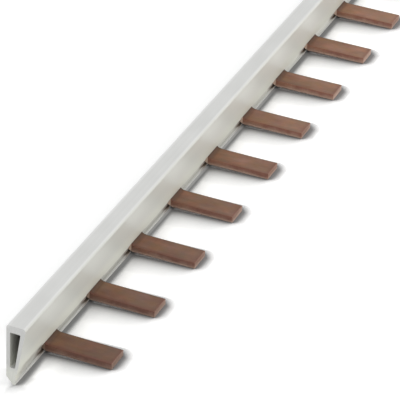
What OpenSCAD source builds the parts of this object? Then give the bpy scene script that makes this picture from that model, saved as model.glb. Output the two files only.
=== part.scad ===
// Terminal jumper: a pin comb of bent copper in an insulating profile.
// X runs along the bar, the tines point to -Y and Z is up. The origin is the middle of the
// bar's footprint, on the level of the keel that it stands on. All sizes are in millimetres.

/* [Comb] */
// Number of tines along the bar
positions = 10; // [2:1:12]
// Centre distance of neighbouring tines, one modular device
pitch = 17.8; // [14:0.1:20]
// Width of a tine
tine_width = 4.8; // [3:0.1:7]
// Length of a tine in front of the profile
tine_length = 12.85; // [8:0.05:18]
// Thickness of the copper sheet
copper_t = 1.3; // [0.8:0.1:1.6]
// Height of the strip that stands in the profile and joins the tines
strip_height = 6.6; // [4:0.1:9]
// Strip length past the outer tines
strip_overhang = 3; // [1:0.5:6]
// Inside radius of the bend between strip and tine
bend_radius = 1.1; // [0.8:0.05:1.6]
// Chamfer that breaks the stamped edges of a tine
edge_break = 0.08; // [0.02:0.01:0.2]

/* [Profile walls] */
// Profile length past the outer tines
end_overhang = 10.7; // [7:0.1:20]
// Wall above the hollow
top_wall = 1.4; // [0.8:0.1:2]
// Back wall beside the hollow
back_wall = 0.7; // [0.5:0.05:0.9]
// Back wall behind the strip, where the profile is relieved for it
relief_wall = 0.3; // [0.2:0.05:0.4]
// Front wall at the top of the hollow
front_wall_top = 0.8; // [0.5:0.05:1.2]
// Front wall at the floor of the hollow
front_wall_foot = 0.55; // [0.35:0.05:0.7]
// Front wall at its lower edge, above the tines
edge_wall = 0.3; // [0.2:0.05:0.5]
// How far the front wall's top hangs out over its lower edge
front_overhang = 1.75; // [1:0.05:3]
// Headroom of the hollow above the strip
headroom = 0.6; // [0.2:0.05:1.5]

/* [Profile foot] */
// Thickness of the lip under the tines
lip_t = 0.55; // [0.4:0.05:1]
// How far the lip's front lies behind the front wall's lower edge
lip_setback = 0.25; // [0.1:0.05:0.4]
// Solid foot between the slot and the floor of the hollow
foot_height = 1.2; // [0.8:0.1:2.5]
// Height over which the back slants in to the keel
keel_rise = 1.5; // [0.8:0.1:1.8]
// Width of the flat keel under the lip
keel_width = 0.5; // [0.3:0.05:0.8]
// Depth of the slot between two tines, from the front wall's lower edge
slot_depth = 0.75; // [0.5:0.05:0.85]
// Length over which the slot closes towards each end
slot_runout = 9; // [3:0.5:10]

/* [Edges and fits] */
// Edge radius between the top and the front wall
front_top_radius = 0.5; // [0.2:0.05:0.8]
// Edge radius between the top and the back wall
back_top_radius = 0.45; // [0.2:0.05:0.8]
// Edge radius of the foot and the keel
foot_radius = 0.2; // [0.05:0.05:0.25]
// Corner radius inside the hollow
hollow_radius = 0.2; // [0.05:0.05:0.25]
// Clearance between copper and plastic
clearance = 0.05; // [0.02:0.01:0.1]
// Gap beside a tine in its window
window_gap = 1.2; // [0.3:0.1:3]
// Height of a window above the edge of the front wall beside it
window_rise = 0.2; // [0.1:0.05:0.5]
// Room past each end of the strip in its relief
strip_end_room = 0.8; // [0.3:0.1:2]

/* [Hidden] */
$fn = 64;
overcut = 1;
root_lap = 0.1;
// A rounding's circle is a touch larger than the tangent one, so that it crosses both faces cleanly
round_excess = 1.005;

// Depths of the section, measured from the back face towards the tines
relief_depth = copper_t + 2 * clearance;
strip_back = relief_wall + clearance;
strip_front = strip_back + copper_t;
base_depth = relief_wall + relief_depth + edge_wall;
top_depth = base_depth + front_overhang;
lip_depth = base_depth - lip_setback;
bend_depth = strip_front + bend_radius;
tip_depth = base_depth + tine_length;
bend_outer = bend_radius + copper_t;

// Heights of the section, measured from the keel
tine_bottom = lip_t + clearance;
tine_top = tine_bottom + copper_t;
bend_level = tine_top + bend_radius;
// Under the front wall's edge the bend has lifted the tine's top by bend_rise
bend_reach = max(0, bend_depth - base_depth);
bend_rise = bend_radius - sqrt(pow(bend_radius, 2) - pow(bend_reach, 2));
wall_edge = tine_top + bend_rise + clearance;
window_top = wall_edge + window_rise;
hollow_floor = wall_edge + foot_height;
strip_bottom = hollow_floor + clearance;
strip_top = strip_bottom + strip_height;
hollow_top = strip_top + headroom;
profile_height = hollow_top + top_wall;

// Lengths along the bar, and the place of the back face across it
row_length = (positions - 1) * pitch;
outer_tines = row_length + tine_width;
profile_length = outer_tines + 2 * end_overhang;
strip_length = outer_tines + 2 * strip_overhang;
relief_length = strip_length + 2 * strip_end_room;
back_y = tip_depth / 2;

// Depth of the front wall's outer face at a height
function front_face(height) =
    base_depth + front_overhang * (height - wall_edge) / (profile_height - wall_edge);

// Unit vector along v
function unit(v) = v / norm(v);

// Circle of a rounding
module rounding(radius) {
    circle(r = radius * round_excess);
}

// What rounding takes off corner b of a section, between its neighbours a and c
module corner_cut(a, b, c, radius) {
    to_a = unit(a - b);
    to_c = unit(c - b);
    inward = unit(to_a + to_c);
    half_angle = acos(to_a * to_c) / 2;
    centre = b + inward * radius / sin(half_angle);
    corner = b - inward * overcut / sin(half_angle);
    reach = (radius + overcut) / tan(half_angle);
    difference() {
        polygon([corner, corner + to_a * reach, centre, corner + to_c * reach]);
        translate(centre) rounding(radius);
    }
}

// Section through the given corners, each rounded with its own radius or, at 0, left sharp
module rounded_section(corners, radii) {
    n = len(corners);
    difference() {
        polygon(corners);
        for (i = [0 : n - 1])
            if (radii[i] > 0)
                corner_cut(corners[(i + n - 1) % n], corners[i], corners[(i + 1) % n], radii[i]);
    }
}

// Carries a section, drawn as depth and height, along the bar
module along_bar(length) {
    translate([0, back_y, 0])
        rotate([90, 0, -90])
            linear_extrude(height = length, center = true) children();
}

// Puts one copy at each tine
module at_each_tine() {
    for (i = [0 : positions - 1])
        translate([i * pitch - row_length / 2, 0, 0]) children();
}

// Outer section of the profile: flat top, leaning front, upright back and slanted foot with its lip
module profile_outline() {
    rounded_section(
        [
            [0, profile_height],
            [0, keel_rise],
            [lip_depth - keel_width, 0],
            [lip_depth, 0],
            [lip_depth, wall_edge],
            [base_depth, wall_edge],
            [top_depth, profile_height]
        ],
        [back_top_radius, foot_radius, foot_radius, foot_radius, 0, 0, front_top_radius]
    );
}

// Wedge-shaped hollow that shows at the open ends
module hollow_section() {
    rounded_section(
        [
            [back_wall, hollow_top],
            [back_wall, hollow_floor],
            [front_face(hollow_floor) - front_wall_foot, hollow_floor],
            [front_face(hollow_top) - front_wall_top, hollow_top]
        ],
        [hollow_radius, hollow_radius, hollow_radius, hollow_radius]
    );
}

// Relief that the standing strip fits in
module strip_relief() {
    translate([relief_wall, hollow_floor])
        square([relief_depth, strip_height + 2 * clearance]);
}

// Bent section of a tine's leg and root, grown all round by a clearance for its way through the profile
module bent_section(grow) {
    back_top = [strip_back - grow, strip_top];
    heel = [back_top.x, tine_bottom - grow];
    front_foot = [bend_depth + root_lap, heel.y];
    front = strip_front + grow;
    top = tine_top + grow;
    inner_radius = bend_radius - grow;
    difference() {
        polygon([
            back_top,
            heel,
            front_foot,
            [front_foot.x, top],
            [front, top],
            [front, strip_top]
        ]);
        corner_cut(back_top, heel, front_foot, bend_outer + grow);
    }
    difference() {
        translate([front - root_lap, top - root_lap]) square(inner_radius + root_lap);
        translate([bend_depth, bend_level]) rounding(inner_radius);
    }
}

// Window of one tine: the way of its bend, and a mouth as deep as the slot
module window_section() {
    mouth_back = base_depth - slot_depth;
    bent_section(clearance);
    translate([mouth_back, lip_t]) square([slot_depth + overcut, window_top - lip_t]);
}

// Slot between front wall and lip, open to the front and running out at both ends
module front_slot() {
    lip_y = back_y - lip_depth;
    open_y = back_y - base_depth - overcut;
    slot_y = back_y - base_depth + slot_depth;
    half = profile_length / 2;
    translate([0, 0, lip_t])
        linear_extrude(height = wall_edge - lip_t)
            polygon([
                [-half, lip_y],
                [-half, open_y],
                [half, open_y],
                [half, lip_y],
                [half - slot_runout, slot_y],
                [slot_runout - half, slot_y]
            ]);
}

// Insulating profile: one extrusion, relieved inside for the strip and opened for each tine
module insulating_profile() {
    color([0.79, 0.79, 0.76])
        difference() {
            along_bar(profile_length) profile_outline();
            along_bar(profile_length + overcut) hollow_section();
            along_bar(relief_length) strip_relief();
            front_slot();
            at_each_tine() along_bar(tine_width + 2 * window_gap) window_section();
        }
}

// Rectangle with its four corners chamfered
module broken_rectangle(size, chamfer) {
    polygon([
        [chamfer, 0],
        [size.x - chamfer, 0],
        [size.x, chamfer],
        [size.x, size.y - chamfer],
        [size.x - chamfer, size.y],
        [chamfer, size.y],
        [0, size.y - chamfer],
        [0, chamfer]
    ]);
}

// Flat blade of one tine, square cut at the tip, with its stamped edges broken
module tine_blade() {
    blade_length = tip_depth - bend_depth;
    root_y = back_y - bend_depth;
    intersection() {
        translate([0, root_y, tine_bottom])
            rotate([90, 0, 0])
                linear_extrude(height = blade_length)
                    translate([-tine_width / 2, 0])
                        broken_rectangle([tine_width, copper_t], edge_break);
        along_bar(tine_width + overcut)
            translate([bend_depth - overcut, tine_bottom])
                broken_rectangle([blade_length + overcut, copper_t], edge_break);
    }
}

// Copper comb: one strip, with every tine bent forward out of its lower edge
module copper_comb() {
    color([0.47, 0.35, 0.29]) {
        along_bar(strip_length)
            translate([strip_back, strip_bottom]) square([copper_t, strip_height]);
        at_each_tine() {
            along_bar(tine_width) bent_section(0);
            tine_blade();
        }
    }
}

insulating_profile();
copper_comb();
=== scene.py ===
import math

import bpy
from mathutils import Matrix, Vector


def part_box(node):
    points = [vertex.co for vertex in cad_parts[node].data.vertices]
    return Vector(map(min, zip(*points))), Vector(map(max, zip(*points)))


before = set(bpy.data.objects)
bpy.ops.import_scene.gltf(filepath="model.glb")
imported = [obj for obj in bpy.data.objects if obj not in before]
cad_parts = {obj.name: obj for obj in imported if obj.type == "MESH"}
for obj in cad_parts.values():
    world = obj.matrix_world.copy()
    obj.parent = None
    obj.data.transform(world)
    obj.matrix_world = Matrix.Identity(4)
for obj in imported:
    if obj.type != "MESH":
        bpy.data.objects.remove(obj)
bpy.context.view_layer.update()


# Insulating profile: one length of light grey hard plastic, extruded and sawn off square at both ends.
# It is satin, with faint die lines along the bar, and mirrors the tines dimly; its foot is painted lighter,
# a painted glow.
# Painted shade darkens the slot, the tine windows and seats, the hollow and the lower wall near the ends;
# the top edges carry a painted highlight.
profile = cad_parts["insulating_profile"]
profile_low, profile_high = [corner * 1000 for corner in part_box("insulating_profile")]
tine_pitch_mm = 17.8
wall_edge_mm = 2.245
wall_edge_depth_mm = 2.0
top_depth_mm = 3.75


def wired(tree, kind, inputs=(), **settings):
    """Adds one shader node with its settings, and puts numbers or other nodes' sockets on its inputs."""
    made = tree.nodes.new(kind)
    for name, value in settings.items():
        setattr(made, name, value)
    for socket, value in dict(inputs).items():
        if isinstance(value, bpy.types.NodeSocket):
            tree.links.new(value, made.inputs[socket])
        else:
            made.inputs[socket].default_value = value
    return made


def calc(tree, operation, *values):
    """Result of one Math node."""
    return wired(tree, "ShaderNodeMath", enumerate(values), operation=operation).outputs[0]


def both(tree, *masks):
    """Mask where all the given masks meet."""
    result = masks[0]
    for mask in masks[1:]:
        result = calc(tree, "MULTIPLY", result, mask)
    return result


def rise(tree, value, start, end):
    """Smooth step from 0 at start to 1 at end."""
    inputs = {"Value": value, "From Min": start, "From Max": end}
    return wired(tree, "ShaderNodeMapRange", inputs, interpolation_type="SMOOTHSTEP").outputs["Result"]


def spread(tree, value, low, high):
    """Noise about 0.5 spread out between two numbers."""
    inputs = {"Value": value, "From Min": 0.3, "From Max": 0.7, "To Min": low, "To Max": high}
    return wired(tree, "ShaderNodeMapRange", inputs).outputs["Result"]


def streaks(tree, millimetres, scale, detail=3.0, roughness=0.5):
    """Noise about 0.5 whose scale is given along each axis, in waves per millimetre."""
    inputs = {"Vector": millimetres, "Scale": scale}
    stretched = wired(tree, "ShaderNodeMapping", inputs).outputs["Vector"]
    inputs = {"Vector": stretched, "Scale": 1.0, "Detail": detail, "Roughness": roughness}
    return wired(tree, "ShaderNodeTexNoise", inputs).outputs["Fac"]


def tinted(tree, factor, below, above, blend="MIX"):
    """Colour below, with above laid over it by factor."""
    inputs = {0: factor, 6: below, 7: above}
    return wired(tree, "ShaderNodeMix", inputs, data_type="RGBA", blend_type=blend).outputs[2]


def chosen(tree, factor, below, above):
    """Number below where factor is 0, and above where it is 1."""
    return wired(tree, "ShaderNodeMix", {0: factor, 2: below, 3: above}).outputs[0]


def shaded(tree, colour, shade):
    """Colour multiplied by a grey."""
    grey = wired(tree, "ShaderNodeCombineColor", {0: shade, 1: shade, 2: shade}).outputs[0]
    return tinted(tree, 1.0, colour, grey, "MULTIPLY")


def start_finish(name):
    """New material, with its tree and shader, the place on the surface in millimetres and its facing."""
    material = bpy.data.materials.new(name)
    material.use_nodes = True
    tree = material.node_tree
    shader = tree.nodes["Principled BSDF"]
    place = tree.nodes.new("ShaderNodeTexCoord").outputs["Object"]
    inputs = {"Vector": place, "Scale": (1000, 1000, 1000)}
    millimetres = wired(tree, "ShaderNodeMapping", inputs).outputs["Vector"]
    facing = tree.nodes.new("ShaderNodeNewGeometry").outputs["Normal"]
    split = [wired(tree, "ShaderNodeSeparateXYZ", {"Vector": v}).outputs for v in (millimetres, facing)]
    return material, tree, shader, millimetres, *split


def from_tine_middle(tree, x):
    """Signed distance along the bar from the middle of the nearest tine."""
    half = tine_pitch_mm / 2
    return calc(tree, "WRAP", calc(tree, "ADD", x, half), half, -half)


satin_grey, tree, shader, millimetres, (x, y, z), facing = start_finish("satin_grey_plastic")
cloud = streaks(tree, millimetres, (0.10, 0.16, 0.16), 2.0)
die_lines = streaks(tree, millimetres, (0.015, 5.0, 5.0))
grain = streaks(tree, millimetres, (9.0, 9.0, 9.0), 2.0)
saw_marks = streaks(tree, millimetres, (1.0, 9.0, 0.7))
depth = calc(tree, "SUBTRACT", profile_high.y, y)
across = from_tine_middle(tree, x)
from_end = calc(tree, "SUBTRACT", profile_high.x, calc(tree, "ABSOLUTE", x))
front_wall = rise(tree, facing[1], -0.4, -0.9)
sawn_end = rise(tree, calc(tree, "ABSOLUTE", facing[0]), 0.6, 0.95)

colour = tinted(tree, spread(tree, cloud, 0.0, 1.0), (0.565, 0.568, 0.555, 1), (0.605, 0.608, 0.596, 1))
# The front wall has its own, slightly yellower grey, painted lighter towards the far end of the bar as
# painted light.
along_bar = rise(tree, x, -70.0, 20.0)
wall_colour = tinted(tree, along_bar, (0.545, 0.547, 0.503, 1), (0.585, 0.580, 0.532, 1))
colour = tinted(tree, front_wall, colour, wall_colour)
# Painted light: the front wall is painted lighter towards its foot, a painted glow.
painted_glow_foot = both(tree, front_wall, rise(tree, z, 6.5, 3.5))
colour = tinted(tree, painted_glow_foot, colour, (0.615, 0.614, 0.545, 1))
# Painted shade: the lower front wall is darkened near each end.
painted_end_shade = both(tree, rise(tree, from_end, 0.3, 3.5), rise(tree, from_end, 10.2, 8.6))
painted_end_shade = both(tree, painted_end_shade, front_wall, rise(tree, z, 3.5, 2.5))
colour = tinted(tree, calc(tree, "MULTIPLY", painted_end_shade, 0.55), colour, (0.25, 0.23, 0.20, 1))
# Painted shade low on the front wall, just beyond the windows of the first and last tines.
painted_shade_by_end_windows = both(tree, rise(tree, from_end, 7.2, 8.4), rise(tree, from_end, 9.7, 9.2))
painted_shade_by_end_windows = both(tree, painted_shade_by_end_windows, front_wall, rise(tree, z, 2.85, 2.5))
colour = tinted(tree, calc(tree, "MULTIPLY", painted_shade_by_end_windows, 0.75), colour, (0.08, 0.065, 0.05, 1))
# Painted highlight along the front and back top edges.
front_edge = calc(tree, "ABSOLUTE", calc(tree, "SUBTRACT", depth, top_depth_mm - 0.25))
front_edge = rise(tree, front_edge, 0.5, 0.1)
back_edge = rise(tree, depth, 0.9, 0.2)
painted_edge_highlight = calc(tree, "MULTIPLY_ADD", front_edge, 0.2, calc(tree, "MULTIPLY", back_edge, 0.6))
painted_edge_highlight = both(tree, painted_edge_highlight, rise(tree, z, 11.2, 12.0))
colour = tinted(tree, painted_edge_highlight, colour, (0.76, 0.76, 0.75, 1))
wall_lean = (top_depth_mm - wall_edge_depth_mm) / (profile_high.z - wall_edge_mm)
wall_depth = calc(tree, "MULTIPLY_ADD", z, wall_lean, wall_edge_depth_mm - wall_lean * wall_edge_mm)
behind_wall = rise(tree, calc(tree, "SUBTRACT", wall_depth, depth), 0.25, 0.4)
in_hollow = both(tree, behind_wall, rise(tree, depth, 0.4, 0.65), rise(tree, from_end, 0.01, 1.5))
in_hollow = both(tree, in_hollow, rise(tree, z, 3.2, 3.4), rise(tree, z, 11.0, 10.8))
# Painted shade inside the hollow: darker towards its top, lighter low down.
hollow_colour = tinted(tree, rise(tree, z, 7.0, 3.8), (0.40, 0.40, 0.37, 1), (0.64, 0.645, 0.59, 1))
colour = tinted(tree, in_hollow, colour, hollow_colour)
# Painted light: the sawn ends are painted lighter towards their foot.
end_foot = both(tree, sawn_end, rise(tree, z, 4.5, 2.2))
colour = tinted(tree, end_foot, colour, (0.665, 0.672, 0.625, 1))
# The lip is painted darker at its top, as painted shade under the wall, and lighter at its foot, as a
# painted glow.
lip = both(tree, rise(tree, facing[1], -0.1, -0.6), rise(tree, z, 0.8, 0.6))
lip_colour = tinted(tree, rise(tree, z, 0.36, 0.12), (0.47, 0.47, 0.44, 1), (0.78, 0.77, 0.72, 1))
# Painted shade on the lip at the near side of each tine, fainter towards the far end.
lip_by_tine = both(tree, rise(tree, across, -6.4, -3.1), rise(tree, across, -1.9, -2.7))
lip_by_tine = both(tree, lip_by_tine, rise(tree, z, 0.08, 0.26))
lip_by_tine = both(tree, lip_by_tine, chosen(tree, rise(tree, x, -80.0, -50.0), 0.75, 0.95))
lip_by_tine = both(tree, lip_by_tine, chosen(tree, rise(tree, x, 5.0, 35.0), 1.0, 0.35))
lip_colour = tinted(tree, lip_by_tine, lip_colour, (0.20, 0.16, 0.13, 1))
colour = tinted(tree, lip, colour, lip_colour)
off_end = rise(tree, from_end, 0.0, 0.05)
# Painted shade in the slot, lighter towards the far end of the bar and darkest beside the tines.
in_slot = both(tree, off_end, rise(tree, depth, 1.75, 1.45), rise(tree, depth, 1.15, 1.23))
in_slot = both(tree, in_slot, rise(tree, z, 0.45, 0.54), rise(tree, z, 2.35, 2.25))
slot_colour = tinted(tree, rise(tree, x, -65.0, 5.0), (0.45, 0.445, 0.41, 1), (0.55, 0.545, 0.50, 1))
slot_colour = tinted(tree, rise(tree, x, 15.0, 40.0), slot_colour, (0.66, 0.655, 0.61, 1))
by_tine = both(tree, rise(tree, across, -5.8, -2.6), rise(tree, across, 3.8, 2.5))
slot_colour = tinted(tree, by_tine, slot_colour, (0.22, 0.18, 0.15, 1))
colour = tinted(tree, in_slot, colour, slot_colour)
off_back = rise(tree, depth, 0.2, 0.3)
above_slant = rise(tree, calc(tree, "MULTIPLY_ADD", depth, 1.2, z), 1.56, 1.70)
beside_tine = rise(tree, calc(tree, "ABSOLUTE", across), 3.65, 3.55)
# Painted shade inside the tine windows.
in_window = both(tree, beside_tine, rise(tree, depth, 1.70, 1.55), rise(tree, z, 2.6, 2.46))
in_window = both(tree, in_window, off_end, off_back, above_slant)
colour = tinted(tree, in_window, colour, (0.36, 0.32, 0.28, 1))
# Painted shade on the seats beside each tine, deep in the windows.
seat = both(tree, off_back, rise(tree, facing[2], 0.5, 0.9), rise(tree, z, 0.70, 0.60))
painted_seat_shade = both(tree, seat, rise(tree, across, -4.6, -2.9), rise(tree, across, 3.6, 2.5))
colour = tinted(tree, painted_seat_shade, colour, (0.090, 0.070, 0.052, 1))
line_shade = spread(tree, die_lines, 0.975, 1.025)
saw_shade = spread(tree, saw_marks, 0.95, 1.05)
colour = shaded(tree, colour, chosen(tree, sawn_end, line_shade, saw_shade))
tree.links.new(colour, shader.inputs["Base Color"])

gloss = calc(tree, "MULTIPLY_ADD", sawn_end, 0.4, spread(tree, die_lines, 0.3, 0.38))
tree.links.new(gloss, shader.inputs["Roughness"])
shader.inputs["Specular IOR Level"].default_value = 0.2
marks = calc(tree, "MULTIPLY_ADD", grain, 0.35, chosen(tree, sawn_end, die_lines, saw_marks))
bump = wired(tree, "ShaderNodeBump", {"Height": marks, "Strength": 0.25, "Distance": 0.00003})
tree.links.new(bump.outputs["Normal"], shader.inputs["Normal"])
profile.material_slots[0].material = satin_grey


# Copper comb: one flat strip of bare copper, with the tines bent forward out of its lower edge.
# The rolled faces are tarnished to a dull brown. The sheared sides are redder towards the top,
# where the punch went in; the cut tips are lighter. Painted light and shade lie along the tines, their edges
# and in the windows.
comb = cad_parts["copper_comb"]
comb_low, comb_high = [corner * 1000 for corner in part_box("copper_comb")]
tine_half_mm = 2.4
tine_top_mm = comb_low.z + 1.3
window_y_mm = profile_high.y - wall_edge_depth_mm

tarnish, tree, shader, millimetres, (x, y, z), facing = start_finish("tarnished_copper")
film = streaks(tree, millimetres, (0.30, 0.16, 0.30), 4.0, 0.55)
rolling = streaks(tree, millimetres, (7.0, 0.25, 7.0))
shear = streaks(tree, millimetres, (4.0, 4.0, 0.25))
waver = streaks(tree, millimetres, (0.05, 0.35, 0.0))
patches = streaks(tree, millimetres, (0.45, 0.30, 0.45), 3.0)
blush = streaks(tree, millimetres, (0.50, 0.42, 0.50), 2.0)
across = from_tine_middle(tree, x)

colour = tinted(tree, spread(tree, film, 0.0, 1.0), (0.131, 0.056, 0.035, 1), (0.223, 0.105, 0.069, 1))
colour = tinted(tree, spread(tree, patches, 0.0, 0.75), colour, (0.150, 0.088, 0.045, 1))
hue = tinted(tree, spread(tree, blush, 0.0, 1.0), (0.93, 1.0, 1.14, 1), (1.07, 1.0, 0.86, 1))
colour = tinted(tree, 1.0, colour, hue, "MULTIPLY")
# Painted light: the copper is lighter towards the far end of the bar and, on the near tines, towards the
# roots.
along_bar = rise(tree, x, -90.0, 30.0)
along_tine = chosen(tree, rise(tree, y, 4.2, -6.0), 1.24, chosen(tree, along_bar, 0.85, 1.16))
along_tine = calc(tree, "MULTIPLY", along_tine, chosen(tree, rise(tree, x, 20.0, 65.0), 1.0, 1.13))
colour = shaded(tree, colour, calc(tree, "MULTIPLY", along_tine, chosen(tree, along_bar, 0.905, 1.18)))
# Painted shade where each tine goes in under the wall.
root = rise(tree, y, 4.2, window_y_mm)
colour = tinted(tree, calc(tree, "MULTIPLY", root, 0.8), colour, (0.080, 0.047, 0.032, 1))
# Painted shade along the near and tip edges of each top, stronger on the near tines.
near_edge = rise(tree, across, 0.8 - tine_half_mm, 0.15 - tine_half_mm)
near_edge = both(tree, near_edge, chosen(tree, along_bar, 0.75, 0.15))
tip_edge = calc(tree, "MULTIPLY", rise(tree, y, comb_low.y + 1.1, comb_low.y + 0.1), 0.4)
red_edge = calc(tree, "MAXIMUM", near_edge, tip_edge)
colour = tinted(tree, red_edge, colour, (0.130, 0.045, 0.030, 1))
# Painted shade along the far edge of each top.
far_edge = rise(tree, across, tine_half_mm - 0.35, tine_half_mm - 0.08)
colour = tinted(tree, calc(tree, "MULTIPLY", far_edge, 0.6), colour, (0.050, 0.034, 0.026, 1))
sheared = rise(tree, calc(tree, "ABSOLUTE", facing[0]), 0.5, 0.9)
below_top = calc(tree, "SUBTRACT", tine_top_mm, z)
torn = rise(tree, calc(tree, "ADD", below_top, spread(tree, waver, -0.4, 0.4)), 0.2, 1.3)
punched = tinted(tree, rise(tree, y, -0.5, 3.0), (0.120, 0.050, 0.034, 1), (0.165, 0.078, 0.049, 1))
side = tinted(tree, torn, punched, (0.195, 0.118, 0.088, 1))
# Painted light: the sides are lighter towards the far tines.
side = shaded(tree, side, chosen(tree, along_bar, 1.02, 1.88))
colour = tinted(tree, sheared, colour, side)
cut_tip = rise(tree, facing[1], -0.5, -0.9)
cut_tip = both(tree, cut_tip, rise(tree, y, comb_low.y + 0.3, comb_low.y + 0.1))
# Painted light: the cut tips are painted lighter towards the far tines.
towards_far_tines = rise(tree, x, -85.0, -40.0)
torn_tip = tinted(tree, towards_far_tines, (0.268, 0.178, 0.138, 1), (0.39, 0.275, 0.22, 1))
cut = tinted(tree, torn, (0.215, 0.120, 0.086, 1), torn_tip)
cut = shaded(tree, cut, chosen(tree, along_bar, 1.05, 1.45))
colour = tinted(tree, cut_tip, colour, cut)
# A lighter band at the lowest edge of the sides and tips: partly the burred edge, partly a painted
# highlight, stronger towards the far tines.
stamped = calc(tree, "MAXIMUM", sheared, cut_tip)
burr_and_highlight = both(tree, stamped, rise(tree, below_top, 0.75, 1.25), chosen(tree, towards_far_tines, 0.2, 0.8))
burr_and_highlight = both(tree, burr_and_highlight, spread(tree, patches, 0.55, 1.0))
colour = tinted(tree, burr_and_highlight, colour, (0.53, 0.38, 0.31, 1))
# Painted shade on the copper in the windows, with painted light on its sides there, stronger towards the far
# tines.
in_window = both(tree, rise(tree, y, window_y_mm - 0.1, window_y_mm + 0.15), rise(tree, z, 3.6, 3.3))
painted_light_in_window = both(tree, towards_far_tines, rise(tree, z, 0.5, 1.1))
window_side = tinted(tree, painted_light_in_window, (0.270, 0.190, 0.140, 1), (0.82, 0.64, 0.51, 1))
window_colour = tinted(tree, sheared, (0.050, 0.035, 0.026, 1), window_side)
colour = tinted(tree, calc(tree, "MULTIPLY", in_window, 0.85), colour, window_colour)
marks = chosen(tree, stamped, rolling, shear)
colour = shaded(tree, colour, spread(tree, marks, 0.93, 1.07))
tree.links.new(colour, shader.inputs["Base Color"])

shader.inputs["Metallic"].default_value = 0.4
gloss = calc(tree, "MULTIPLY_ADD", root, 0.3, spread(tree, film, 0.52, 0.40))
tree.links.new(gloss, shader.inputs["Roughness"])
bump = wired(tree, "ShaderNodeBump", {"Height": marks, "Strength": 0.3, "Distance": 0.00003})
tree.links.new(bump.outputs["Normal"], shader.inputs["Normal"])
comb.material_slots[0].material = tarnish


# Studio: a white sheet, tipped so that the bar's keel and the tine tips lie on it, in a white surround.
# Soft lamps stand in front of the bar and, fainter, at its ends. The sheet and the surround look white,
# and the sheet's colour carries a painted close, soft shadow under the bar and the tines, beside the lamps'
# own shadows.
sheet_reach = 3.0
keel_y = 0.00586
tip_corner = Vector((0, comb_low.y, comb_low.z)) / 1000
floor_mesh = bpy.data.meshes.new("floor")
corners = [(-sheet_reach, -sheet_reach, 0), (sheet_reach, -sheet_reach, 0)]
corners += [(sheet_reach, sheet_reach, 0), (-sheet_reach, sheet_reach, 0)]
floor_mesh.from_pydata(corners, [], [(0, 1, 2, 3)])
floor = bpy.data.objects.new("floor", floor_mesh)
bpy.context.scene.collection.objects.link(floor)
floor.rotation_euler = (-math.atan(tip_corner.z / (keel_y - tip_corner.y)), 0, 0)
floor.location = (0, keel_y, -0.00001)


def seen_directly(tree):
    """1 for what the camera sees, also in gloss or through clear parts, and 0 for light that bounces."""
    ray = tree.nodes.new("ShaderNodeLightPath").outputs
    mirrored = calc(tree, "MAXIMUM", ray["Is Glossy Ray"], ray["Is Transmission Ray"])
    return calc(tree, "MAXIMUM", ray["Is Camera Ray"], mirrored)


sheet = bpy.data.materials.new("white_sheet")
sheet.use_nodes = True
tree = sheet.node_tree
shader = tree.nodes["Principled BSDF"]


def openness(tree, direction, reach, falloff):
    """How open the sheet is towards a direction, with nothing farther than reach in metres counted."""
    normal = wired(tree, "ShaderNodeCombineXYZ", enumerate(direction)).outputs[0]
    inputs = {"Distance": reach, "Normal": normal}
    found = wired(tree, "ShaderNodeAmbientOcclusion", inputs, samples=16).outputs["AO"]
    return calc(tree, "POWER", found, falloff)


# Painted shadow: seen directly, the sheet is darkened where the bar and the tines close it in, on top of the
# lamps' own shadows.
contact = openness(tree, (-0.4, 0.0, 0.917), 0.0025, 5.3)
far_side_openness = openness(tree, (0.7, -0.6, 0.39), 0.006, 1.75)
place = tree.nodes.new("ShaderNodeTexCoord").outputs["Object"]
floor_x, floor_y, floor_z = wired(tree, "ShaderNodeSeparateXYZ", {"Vector": place}).outputs
# Behind the keel the painted shadow is kept faint.
behind_keel = rise(tree, floor_y, -0.0008, 0.0012)
far_side_openness = calc(tree, "MAXIMUM", far_side_openness, behind_keel)
# A painted shadow around the near end of the bar.
end_shade = openness(tree, (0.0, 0.0, 1.0), 0.004, 1.6)
end_shade = calc(tree, "MAXIMUM", end_shade, rise(tree, floor_x, -0.0925, -0.0885))
contact = calc(tree, "MINIMUM", contact, end_shade)
contact = calc(tree, "MAXIMUM", contact, calc(tree, "MULTIPLY", behind_keel, 0.85))
# Seen directly, the sheet is whiter far from the bar, and the painted shadow is lightened in front of the
# near end.
distance = wired(tree, "ShaderNodeVectorMath", {0: place}, operation="LENGTH").outputs["Value"]
lift = chosen(tree, rise(tree, distance, 0.15, 0.8), 1.18, 1.5)
near_end = both(tree, rise(tree, floor_x, -0.078, -0.090), rise(tree, floor_x, -0.0935, -0.0925))
near_end = both(tree, near_end, rise(tree, floor_y, -0.006, -0.003))
lift = calc(tree, "MULTIPLY", lift, chosen(tree, near_end, 1.0, 1.25))
# The painted shadow deepens towards the far end of the bar, most off the blades and past the tips.
past_tips = rise(tree, floor_y, -0.0126, -0.0132)
off_blades = calc(tree, "MAXIMUM", past_tips, rise(tree, floor_y, -0.003, -0.0015))
along_floor = rise(tree, floor_x, -0.075, 0.035)
deepening = calc(tree, "MULTIPLY", along_floor, chosen(tree, off_blades, 0.22, 0.45))
deepening = calc(tree, "ADD", deepening, 1.0)
shadow = calc(tree, "POWER", calc(tree, "MINIMUM", contact, far_side_openness), deepening)
white = calc(tree, "MULTIPLY", shadow, lift)
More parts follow.
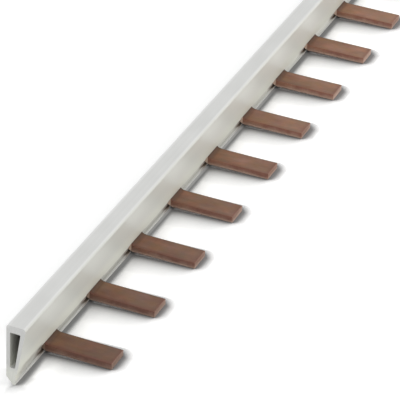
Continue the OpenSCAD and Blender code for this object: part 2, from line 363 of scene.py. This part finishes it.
# The painted shadow is lightened just in front of the lip, and mostly left out under the blades.
by_lip = both(tree, rise(tree, floor_y, -0.00085, -0.0005), rise(tree, floor_x, -0.060, -0.025))
by_lip = both(tree, by_lip, rise(tree, floor_x, 0.030, 0.012))
floor_mm = calc(tree, "MULTIPLY", floor_x, 1000.0)
under_blade = rise(tree, calc(tree, "ABSOLUTE", from_tine_middle(tree, floor_mm)), 2.35, 1.95)
under_blade = both(tree, under_blade, rise(tree, floor_y, -0.0005, -0.0015))
under_blade = both(tree, under_blade, rise(tree, floor_y, -0.0119, -0.0109))
darkest = chosen(tree, under_blade, chosen(tree, by_lip, 0.22, 0.40), 0.95)
white = calc(tree, "MAXIMUM", white, darkest)
white = wired(tree, "ShaderNodeCombineColor", {0: white, 1: white, 2: white}).outputs[0]
colour = tinted(tree, seen_directly(tree), (0.8, 0.8, 0.8, 1), white)
tree.links.new(colour, shader.inputs["Base Color"])
shader.inputs["Roughness"].default_value = 1.0
shader.inputs["Specular IOR Level"].default_value = 0.0
floor_mesh.materials.append(sheet)

surround_light = 0.80
surround = bpy.data.worlds.new("white_surround")
surround.use_nodes = True
bpy.context.scene.world = surround
tree = surround.node_tree
background = tree.nodes["Background"]
background.inputs["Color"].default_value = (1, 1, 1, 1)
strength = calc(tree, "MULTIPLY_ADD", seen_directly(tree), 1 - surround_light, surround_light)
tree.links.new(strength, background.inputs["Strength"])

for name, azimuth, elevation, size, light in (
    ("front_lamp", 0, 35, 0.9, 0.40),
    ("near_end_lamp", -90, 35, 0.9, 0.09),
    ("far_end_lamp", 90, 58, 1.15, 0.065),
):
    lamp = bpy.data.lights.new(name, "AREA")
    lamp.shape = "DISK"
    lamp.size = size
    lamp.energy = light * math.pi ** 2
    lamp_object = bpy.data.objects.new(name, lamp)
    bpy.context.scene.collection.objects.link(lamp_object)
    turn, height = math.radians(azimuth), math.radians(elevation)
    across_floor = math.cos(height)
    ahead, aside = -math.cos(turn) * across_floor, math.sin(turn) * across_floor
    lamp_object.location = (aside, ahead, math.sin(height))
    lamp_object.rotation_mode = "QUATERNION"
    lamp_object.rotation_quaternion = (-lamp_object.location).to_track_quat("-Z", "Y")


# Camera: a long lens, above the near end of the bar and in front of it.
# The whole near end and nine of the ten tines are in the picture.
camera_data = bpy.data.cameras.new("camera")
camera_data.sensor_width = 36
camera_data.lens = 220.5
camera = bpy.data.objects.new("camera", camera_data)
bpy.context.scene.collection.objects.link(camera)
right = Vector((0.40084, -0.91518, 0.04206))
up = Vector((0.46830, 0.24414, 0.84917))
back = Vector((-0.78741, -0.32069, 0.52644))
stand = Matrix.Translation((-0.39564, -0.14987, 0.24885))
camera.matrix_world = stand @ Matrix((right, up, back)).transposed().to_4x4()
bpy.context.scene.camera = camera

bpy.context.scene.view_settings.view_transform = "Standard"
